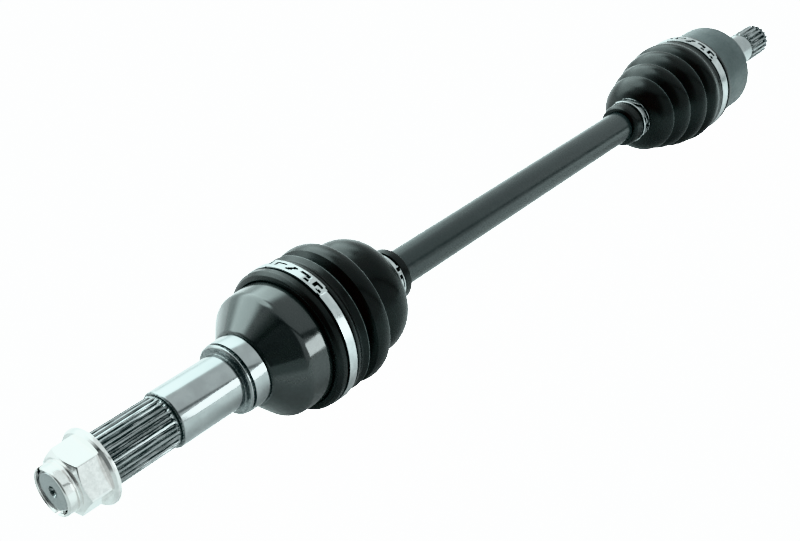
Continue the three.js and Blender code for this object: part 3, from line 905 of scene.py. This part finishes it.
def axle_bar(paint):
    """The solid bar between the joints, splined at both ends."""
    left = {**BAR_SPLINE, "start": BAR["tail"] + 5, "end": BAR["outer_stop"] - 0.3}
    right = {**BAR_SPLINE, "start": BAR["head"] - 5, "end": BAR["inner_stop"] + 0.3}
    tail, head, end = BAR["tail"], BAR["head"], BAR["end"]
    rings = rings_of([(tail, 2), (tail, end, 0.5), (tail + 1.9, end), (left["start"] - 1.4, end + 0.2)])
    rings += mirrored_spline(left, 1)
    first, last, radius = BAR["outer_stop"], BAR["inner_stop"], BAR["radius"]
    rings += rings_of([
        (first, 9.3), (first, radius - 0.3, 0.2), (first + 0.8, radius, 0.3),
        (last - 0.8, radius, 0.3), (last, radius - 0.3, 0.2), (last, 9.3),
    ])
    rings += mirrored_spline(right, -1)[::-1]
    rings += rings_of([(right["start"] + 1.4, end + 0.2), (head - 1.9, end), (head, end, 0.5), (head, 2)])
    bar = skin("axle_bar_body", rings, [place(tail, 0, 0), place(head, 0, 0)])
    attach(bar, "shaft")
    return finished(bar, paint, "black_paint", "axle_bar")


def mirrored_spline(spline, way):
    """Rings of a bar spline from its open end to its stop, either way along X."""
    teeth = spline_rule(spline)
    start, end = spline["start"], spline["end"]
    stations = (start, start + way * 1.0, end - way * 1.5, end)
    rules = (capped(teeth, spline["root"] + 0.1), teeth, teeth, spline_rule(spline, 0.9))
    return [ring(station, rule) for station, rule in zip(stations, rules)]


# ------ inner joint


def inner_can(paint):
    """The painted can of the plunging joint, bored, with straight ball tracks."""
    mouth, back, floor = CAN["mouth"], CAN["back"], CAN["floor"]
    outline = [
        (floor, 0), (floor, CAN["bore"] - 1.2, 0.8), (floor - 1.2, CAN["bore"], 0.6),
        (mouth + 3.4, CAN["bore"], 0.2), (mouth + 0.8, CAN["bore"] + 1.4, 0.4),
        (mouth, CAN["bore"] + 2.2, 0.3),
        (mouth, CAN["radius"] - 1.0, 0.4), (mouth + 1.0, CAN["radius"], 0.5),
        (back - 1.4, CAN["radius"], 0.9), (back, CAN["radius"] - 1.5, 0.9),
        (back, 15.5, 1.2), (back - 1.0, 13.5, 0.6), (back - 1.0, 0),
    ]
    can = turned("inner_can", outline)
    cut(can, straight_tracks("tracks", mouth - 5, floor - 2, TRACK_ROOM["can"]))
    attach(can, "inner_housing")
    return finished(can, paint, "grey_paint", "inner_housing")


def gearbox_stub(steel):
    """The splined stub that plugs into the gearbox, with its snap ring groove."""
    seat, spline, groove = GEARBOX_SEAT, GEARBOX_SPLINE, SNAP_GROOVE
    teeth = spline_rule(spline)
    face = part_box("inner_housing")[1].x
    end = (face - START) / MM
    rings = rings_of([
        (CAN["back"] - 1.1, 12.2), (CAN["back"] - 0.4, 12.2, 0.4), (CAN["back"] + 0.8, seat["radius"], 0.5),
        (seat["end"] - 0.6, seat["radius"], 0.2), (seat["end"], seat["radius"] - 0.6, 0.2),
        (spline["start"] - 0.1, spline["root"] - 0.1),
    ])
    rings.append(ring(spline["start"], capped(teeth, spline["root"] + 0.1)))
    rings.append(ring(spline["start"] + 1.0, teeth))
    for edge, inward in ((groove["station"] - groove["half"], 1), (groove["station"] + groove["half"], -1)):
        pair = [ring(edge, teeth), ring(edge + 0.05 * inward, capped(teeth, groove["radius"]))]
        rings += pair[::inward]
    rings.append(ring(spline["end"] - 0.9, teeth))
    rings.append(ring(spline["end"], capped(teeth, spline["root"] + 0.25)))
    rings += rings_of([(end - 0.3, spline["root"] - 0.2), (end, spline["root"] - 0.8, 0.2)])
    rings += rings_of(centre_drill(end, -1)[::-1])
    stub = skin("gearbox_stub", rings, [place(CAN["back"] - 1.1, 0, 0), place(end - 5.4, 0, 0)])
    painted_light(stub, gearbox_stub_painted_shade)
    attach(stub, "inner_housing")
    return finished(stub, steel, "ground_steel", "inner_housing")


def gearbox_stub_painted_shade(station, radius):
    """Painted shade between the spline's teeth and round its ends."""
    spline = GEARBOX_SPLINE
    if spline["start"] - 0.3 <= station <= spline["end"] + 0.2:
        depth = (spline["tip"] - radius) / (spline["tip"] - spline["root"])
        return min(1.0, 0.3 + depth)
    if station > spline["end"]:
        return 0.4
    return 0.0


# ------ clamps


def clamp(name, steel):
    """A low-profile clamp: a band round the boot whose end laps over itself, with
    hooks in windows. Its width and thickness come from the CAD clamp's own box."""
    columns = CLAMPS[name]["columns"]
    low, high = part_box(name)
    start, end = (low.x - START) / MM, (high.x - START) / MM
    outer = max(high.z, -low.z, high.y, -low.y) / MM - 0.02
    inner = CLAMPS[name]["rubber"] + 0.3
    radii = (inner, (inner + outer) / 2, outer)
    rows = len(LAP_PATTERN)
    lap = len(LAP_PATTERN[0])
    first = round(CLAMPS[name]["lap"] / 360 * columns)

    def level(column, row):
        if not 0 <= row < rows:
            return 0
        step = (column - first) % columns
        if step < lap:
            return 2 if LAP_PATTERN[rows - 1 - row][step] == "#" else 0
        return 1 if 0 < row < rows - 1 else 0

    form = bmesh.new()
    spots = {}

    def spot(column, row, height):
        key = (column % columns, row, height)
        if key not in spots:
            angle = math.tau * column / columns
            station = start + (end - start) * row / rows
            spots[key] = form.verts.new(place(station, radii[height], angle))
        return spots[key]

    for column in range(columns):
        for row in range(rows):
            top = level(column, row)
            if top:
                add_cell(form, spot, level, column, row, top)
    mesh = bpy.data.meshes.new(name)
    form.to_mesh(mesh)
    form.free()
    piece = soften(add_object(name + "_band", mesh), 0.13)
    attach(piece, CLAMPS[name]["body"])
    return finished(piece, steel, "stainless_band", name)


def add_cell(form, spot, level, column, row, top):
    """One cell of a clamp: its outside, its inside, and walls down to lower cells."""
    corners = ((column, row), (column + 1, row), (column + 1, row + 1), (column, row + 1))
    form.faces.new([spot(*corner, top) for corner in corners])
    form.faces.new([spot(*corner, 0) for corner in reversed(corners)])
    for side, (across, along) in enumerate(((0, -1), (1, 0), (0, 1), (-1, 0))):
        near, far = corners[side], corners[(side + 1) % 4]
        for step in range(level(column + across, row + along), top):
            wall = (spot(*near, step), spot(*far, step), spot(*far, step + 1), spot(*near, step + 1))
            form.faces.new(wall)


# ------ boots


def bellows_section(outside, floor):
    """The closed section of a rubber boot: its outside, and its inside a wall's
    thickness under it, never below the floor."""
    inside = [(point.x, max(point.y - BOOT_WALL, floor(point.x))) for point in outside]
    return [tuple(point) for point in outside] + inside[::-1]


def crest_highlight_at(crests):
    """A rule for a painted highlight: 1 on a boot's crests and 0 a little way off them."""

    def rule(station, radius):
        near = min(math.hypot(station - along, radius - out) for along, out in crests)
        return max(0.0, 1.0 - near / CREST_HIGHLIGHT_REACH)

    return rule


def outer_boot_outside():
    """The outer boot's outline, from its lip on the bell to its end on the bar."""
    outline = [(141.0, 36.3), (141.6, 37.8, 0.3), (143.4, 39.3, 0.6), (146.6, 39.3, 0.3), (146.8, 38.65, 0.2)]
    outline += [(154.4, 38.65, 0.2), (154.6, 39.3, 0.3), (156.6, 39.0, 0.8), (159.6, 37.4, 1.2)]
    outline += [(*OUTER_BOOT_CRESTS[0], 0.7), (167.6, 33.2, 1.4)]
    outline += [(170.6, 38.6)]
    outline += arc((170.6, 38.6), (179.6, 39.0), 0.85, 8)[:-1]
    outline += [(*OUTER_BOOT_CRESTS[1], 0.5), (184.4, 30.6, 1.3)]
    outline += arc((187.0, 31.6), (205.0, 30.2), 2.5, 10)
    outline += [(*OUTER_BOOT_CRESTS[2], 0.6)]
    outline += arc((208.6, 23.4), (213.2, 17.6), -1.0, 6)
    outline += [(216.6, 17.2, 0.5), (216.9, 14.0, 0.2), (221.3, 14.0, 0.2), (221.5, 15.5, 0.4)]
    outline += [(226.9, 15.3, 0.8), (227.0, 11.2)]
    return outline


def outer_boot(rubber):
    """The outer joint's boot, between the bell and the bar."""

    def floor(station):
        return 35.2 if station < 158 else BAR["radius"] + 0.25

    section = bellows_section(eased(outer_boot_outside(), steps=5), floor)
    piece = turned("outer_boot_bellows", section, closed=True)
    painted_light(piece, crest_highlight_at(OUTER_BOOT_CRESTS))
    finished(piece, rubber, "boot_rubber", "outer_boot")
    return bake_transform(piece)


def inner_boot_outside():
    """The inner boot's outline, from its end on the bar to its lip on the can."""
    outline = [(470, 11.2), (470.1, 13.1, 0.6), (472, 14.2, 0.8), (478.8, 14.4, 0.3), (479.1, 13.65, 0.2)]
    outline += [(487.3, 13.65, 0.2), (487.6, 14.6, 0.4)]
    outline += arc((487.9, 15.2), (499.6, 26.9), 2.6, 10)[:-1]
    crests = INNER_BOOT_CRESTS
    for here, there in zip(crests, crests[1:]):
        outline += [(*here, 0.5), (here[0] + 3.6, here[1] - 4.2, 0.9)]
        foot = (here[0] + 5.0, here[1] - 2.6)
        outline += arc(foot, there, 1.9, 8)[:-1]
    outline += [(*crests[-1], 0.7), (549.4, 35.9, 0.6), (552.9, 36.0, 0.3), (553.2, 34.65, 0.2)]
    outline += [(563.4, 34.65, 0.2), (563.7, 36.0, 0.3), (566.9, 35.7, 0.8)]
    outline += [(567.5, 34.2, 0.4), (567.5, 32.6)]
    return outline


def inner_boot(rubber):
    """The inner joint's boot in two pieces: one on the bar's side of the split, the
    other on the can's side."""

    def floor(station):
        return BAR["radius"] + 0.25 if station < 546 else 32.55

    outside = eased(inner_boot_outside(), steps=5)
    middle = min(range(len(outside)), key=lambda index: abs(outside[index].x - INNER_BOOT_SPLIT))
    split = outside[middle].x
    halves = (
        ("inner_boot_bar_side", outside[:middle + 1], "shaft", "inner_cage", 488, split),
        ("inner_boot_can_side", outside[middle:], "inner_cage", "inner_housing", split, 553),
    )
    for name, half, near, far, start, end in halves:
        piece = turned(name, bellows_section(half, floor), closed=True)
        painted_light(piece, crest_highlight_at(INNER_BOOT_CRESTS))
        finished(piece, rubber, "boot_rubber", "inner_boot")
        place(start, 0, 0)
        place(end, 0, 0)
        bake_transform(piece)


# ------ stage


def dark_walls(nodes, ahead):
    """The strength of the soft walls, with a dark corner and a dark seam between
    two panels."""
    corner = nodes.graded(nodes.lean(ahead, DARK_CORNER), 1.0, 0.25, 0.68, 0.90)
    low_corner = nodes.graded(nodes.lean(ahead, LOW_CORNER), 1.0, 0.25, 0.78, 0.93)
    off_seam = nodes.maths("ABSOLUTE", nodes.lean(ahead, PANEL_SEAM))
    seam = nodes.graded(off_seam, 0.3, 1.0, 0.045, 0.075)
    walls = nodes.maths("MULTIPLY", nodes.maths("MULTIPLY", corner, low_corner), seam)
    return nodes.maths("MULTIPLY", walls, WALL_LIGHT)


def softboxes(nodes, ahead):
    """The strength of a strip of softbox behind the axle, one overhead, and a glow
    low behind."""
    split = nodes.node("SeparateXYZ")
    nodes.feed(split.inputs["Vector"], ahead)
    x, y = split.outputs["X"], split.outputs["Y"]
    slant = nodes.lean(ahead, STRIP_SLANT)
    across = nodes.maths("ABSOLUTE", nodes.maths("SUBTRACT", slant, 0.17))
    strip = nodes.graded(across, STRIP_LIGHT, 0.0, 0.18, 0.42)
    for end in (
        nodes.graded(x, 1.0, 0.0, 0.42, 0.74),
        nodes.graded(x, 0.0, 1.0, -0.75, -0.58),
        nodes.graded(y, 0.0, 1.0, 0.05, 0.15),
    ):
        strip = nodes.maths("MULTIPLY", strip, end)
    high = nodes.graded(nodes.lean(ahead, HIGH_SOFTBOX), 0.0, HIGH_LIGHT, 0.89, 0.96)
    glow = nodes.graded(slant, 0.0, BACK_LIGHT, 0.3, 0.6)
    return nodes.maths("ADD", nodes.maths("MAXIMUM", strip, high), glow)


def studio_world():
    """A room of soft walls and softboxes. Seen directly, all of it is white."""
    world = bpy.data.worlds.new("studio")
    world.use_nodes = True
    bpy.context.scene.world = world
    nodes = Nodes(world.node_tree)
    ahead = nodes.node("TexCoord").outputs["Generated"]
    seen = nodes.node("LightPath").outputs["Is Camera Ray"]
    boxes = softboxes(nodes, ahead)
    room = nodes.maths("ADD", dark_walls(nodes, ahead), boxes)
    share = nodes.graded(boxes, 0.0, 1.0, 0.0, 0.8)
    background = nodes.tree.nodes["Background"]
    tint = nodes.mixed(share, rgb(*LIGHT_TINT), rgb(*SOFTBOX_TINT))
    nodes.feed(background.inputs["Color"], tint)
    strength = nodes.graded(seen, room, PAPER_LIGHT, 0.0, 1.0)
    nodes.feed(background.inputs["Strength"], strength)


def studio_key():
    """A small softbox beside the wheel end, which lights only its smooth pieces."""
    way = Vector(KEY["way"]).normalized()
    light = bpy.data.lights.new("key", "AREA")
    light.shape = "RECTANGLE"
    light.size, light.size_y = KEY["size"]
    light.energy = KEY_LIGHT
    light.color = LIGHT_TINT
    lamp = linked("key", light)
    lamp.location = place(KEY["station"], 0, 0) + way * KEY["distance"]
    lamp.rotation_mode = "QUATERNION"
    lamp.rotation_quaternion = way.to_track_quat("Z", "Y")
    lamp.visible_camera = False
    mirrors = bpy.data.collections.new("key_mirrors")
    for name in KEY_MIRRORS:
        mirrors.objects.link(bpy.data.objects[name])
    lamp.light_linking.receiver_collection = mirrors


def paper():
    """White seamless paper with a faint tooth, lit evenly from behind."""
    finish = Finish("paper", Roughness=0.9, Specular_IOR_Level=0.0, Emission_Strength=PAPER_LIGHT)
    finish.colour(finish.clouded(60, (0.60, 0.605, 0.605), (0.63, 0.635, 0.635)))
    finish.feed(finish.shader.inputs["Emission Color"], rgb(1.0, 1.0, 1.0))
    finish.bump(finish.noise(1.5), 0.02, 0.1)
    return finish.material


def table_top():
    """Pale board under the paper, painted darker towards -X as shade seen in reflections, and glowing, more
    behind the axle, as painted light for reflections and bounce.
    """
    finish = Finish("table_top", Roughness=0.8)
    pale = finish.mixed(finish.noise(80), rgb(0.78, 0.785, 0.785), rgb(0.83, 0.835, 0.835))
    # Painted shade: the board turns darker towards -X, as the axle sees it in reflections.
    painted_shade_side = finish.graded(finish.lean(finish.spot, (-1, 0, 0)), 0.0, 1.0, 0.29, 0.36)
    finish.colour(finish.mixed(painted_shade_side, pale, rgb(0.40, 0.405, 0.405)))
    finish.bump(finish.noise(2), 0.05, 0.1)
    # Painted light: the board glows, more behind the axle, to brighten reflections on the axle's undersides.
    behind = finish.graded(finish.lean(finish.spot, (0, 1, 0)), TABLE_LIGHT, BACK_LIGHT, 0.05, 0.2)
    finish.feed(finish.shader.inputs["Emission Color"], rgb(*LIGHT_TINT))
    finish.feed(finish.shader.inputs["Emission Strength"], behind)
    return finish.material


def sheet(name, material, level):
    """A wide flat sheet at a height."""
    mesh = bpy.data.meshes.new(name)
    reach = 6
    corners = [(-reach, -reach), (reach, -reach), (reach, reach), (-reach, reach)]
    mesh.from_pydata([(x, y, level) for x, y in corners], [], [(0, 1, 2, 3)])
    mesh.materials.append(material)
    obj = linked(name, mesh)
    obj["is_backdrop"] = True
    return obj


def studio_floor():
    """Two sheets at the axle's lowest point: the white paper that is seen, and the
    darker board under it, which takes its place in reflections and bounced light."""
    level = cad_box[0].z
    seen = sheet("floor", paper(), level)
    for ray in ("diffuse", "glossy", "transmission", "volume_scatter", "shadow"):
        setattr(seen, "visible_" + ray, False)
    board = sheet("table", table_top(), level - 0.2 * MM)
    board.visible_camera = False


def camera():
    """A camera low over the wheel end, looking along the axle."""
    azimuth, elevation = math.radians(CAMERA["azimuth"]), math.radians(CAMERA["elevation"])
    back = Vector((
        math.sin(azimuth) * math.cos(elevation),
        -math.cos(azimuth) * math.cos(elevation),
        math.sin(elevation),
    ))
    lens = bpy.data.cameras.new("camera")
    lens.sensor_width = 36
    lens.lens = CAMERA["lens"]
    eye = linked("camera", lens)
    eye.location = Vector(CAMERA_AIM) + back * CAMERA["distance"]
    eye.rotation_mode = "QUATERNION"
    eye.rotation_quaternion = back.to_track_quat("Z", "Y")
    bpy.context.scene.camera = eye


# ------ assembly


def build_outer_joint(steel, balls, spring, black, rubber):
    wheel_stub(steel)
    outer_bell(black)
    race("outer_race", OUTER_JOINT, OUTER_RACE, curved_tracks("cut"), steel, "outer_joint_race")
    cage("outer_cage_ring", OUTER_JOINT, OUTER_CAGE, steel, "outer_joint_cage")
    bearing_balls("outer_joint_ball", OUTER_JOINT, balls, "outer_cage")
    circlip("outer_race_circlip", spring)
    outer_boot(rubber)


def build_inner_joint(steel, balls, spring, grey, rubber):
    inner_can(grey)
    gearbox_stub(steel)
    middle = INNER_JOINT["centre"]
    cutter = straight_tracks("cut", middle - 12, middle + 12, TRACK_ROOM["inner_race"])
    race("inner_race", INNER_JOINT, INNER_RACE, cutter, steel, "inner_joint_race")
    cage("inner_cage_ring", INNER_JOINT, INNER_CAGE, steel, "inner_joint_cage")
    bearing_balls("inner_joint_ball", INNER_JOINT, balls, "inner_cage")
    circlip("inner_race_circlip", spring)
    wire_ring("inner_joint_stopper_ring", STOPPER_RING, spring)
    wire_ring("inner_stub_snap_ring", SNAP_RING, spring)
    inner_boot(rubber)


def build_axle():
    steel, balls, spring = ground_steel(), ball_steel(), spring_steel()
    band, black, grey, rubber = stainless_band(), black_paint(), grey_paint(), boot_rubber()
    build_outer_joint(steel, balls, spring, black, rubber)
    build_inner_joint(steel, balls, spring, grey, rubber)
    for name in CLAMPS:
        clamp(name, band)
    axle_nut(zinc_plate())
    axle_bar(bar_paint())


build_axle()
studio_world()
studio_key()
studio_floor()
camera()
bpy.context.scene.view_settings.view_transform = "Khronos PBR Neutral"

corners = {"cad": cad_box, "visual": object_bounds()}
{name: [list(corner) for corner in box] for name, box in corners.items()}
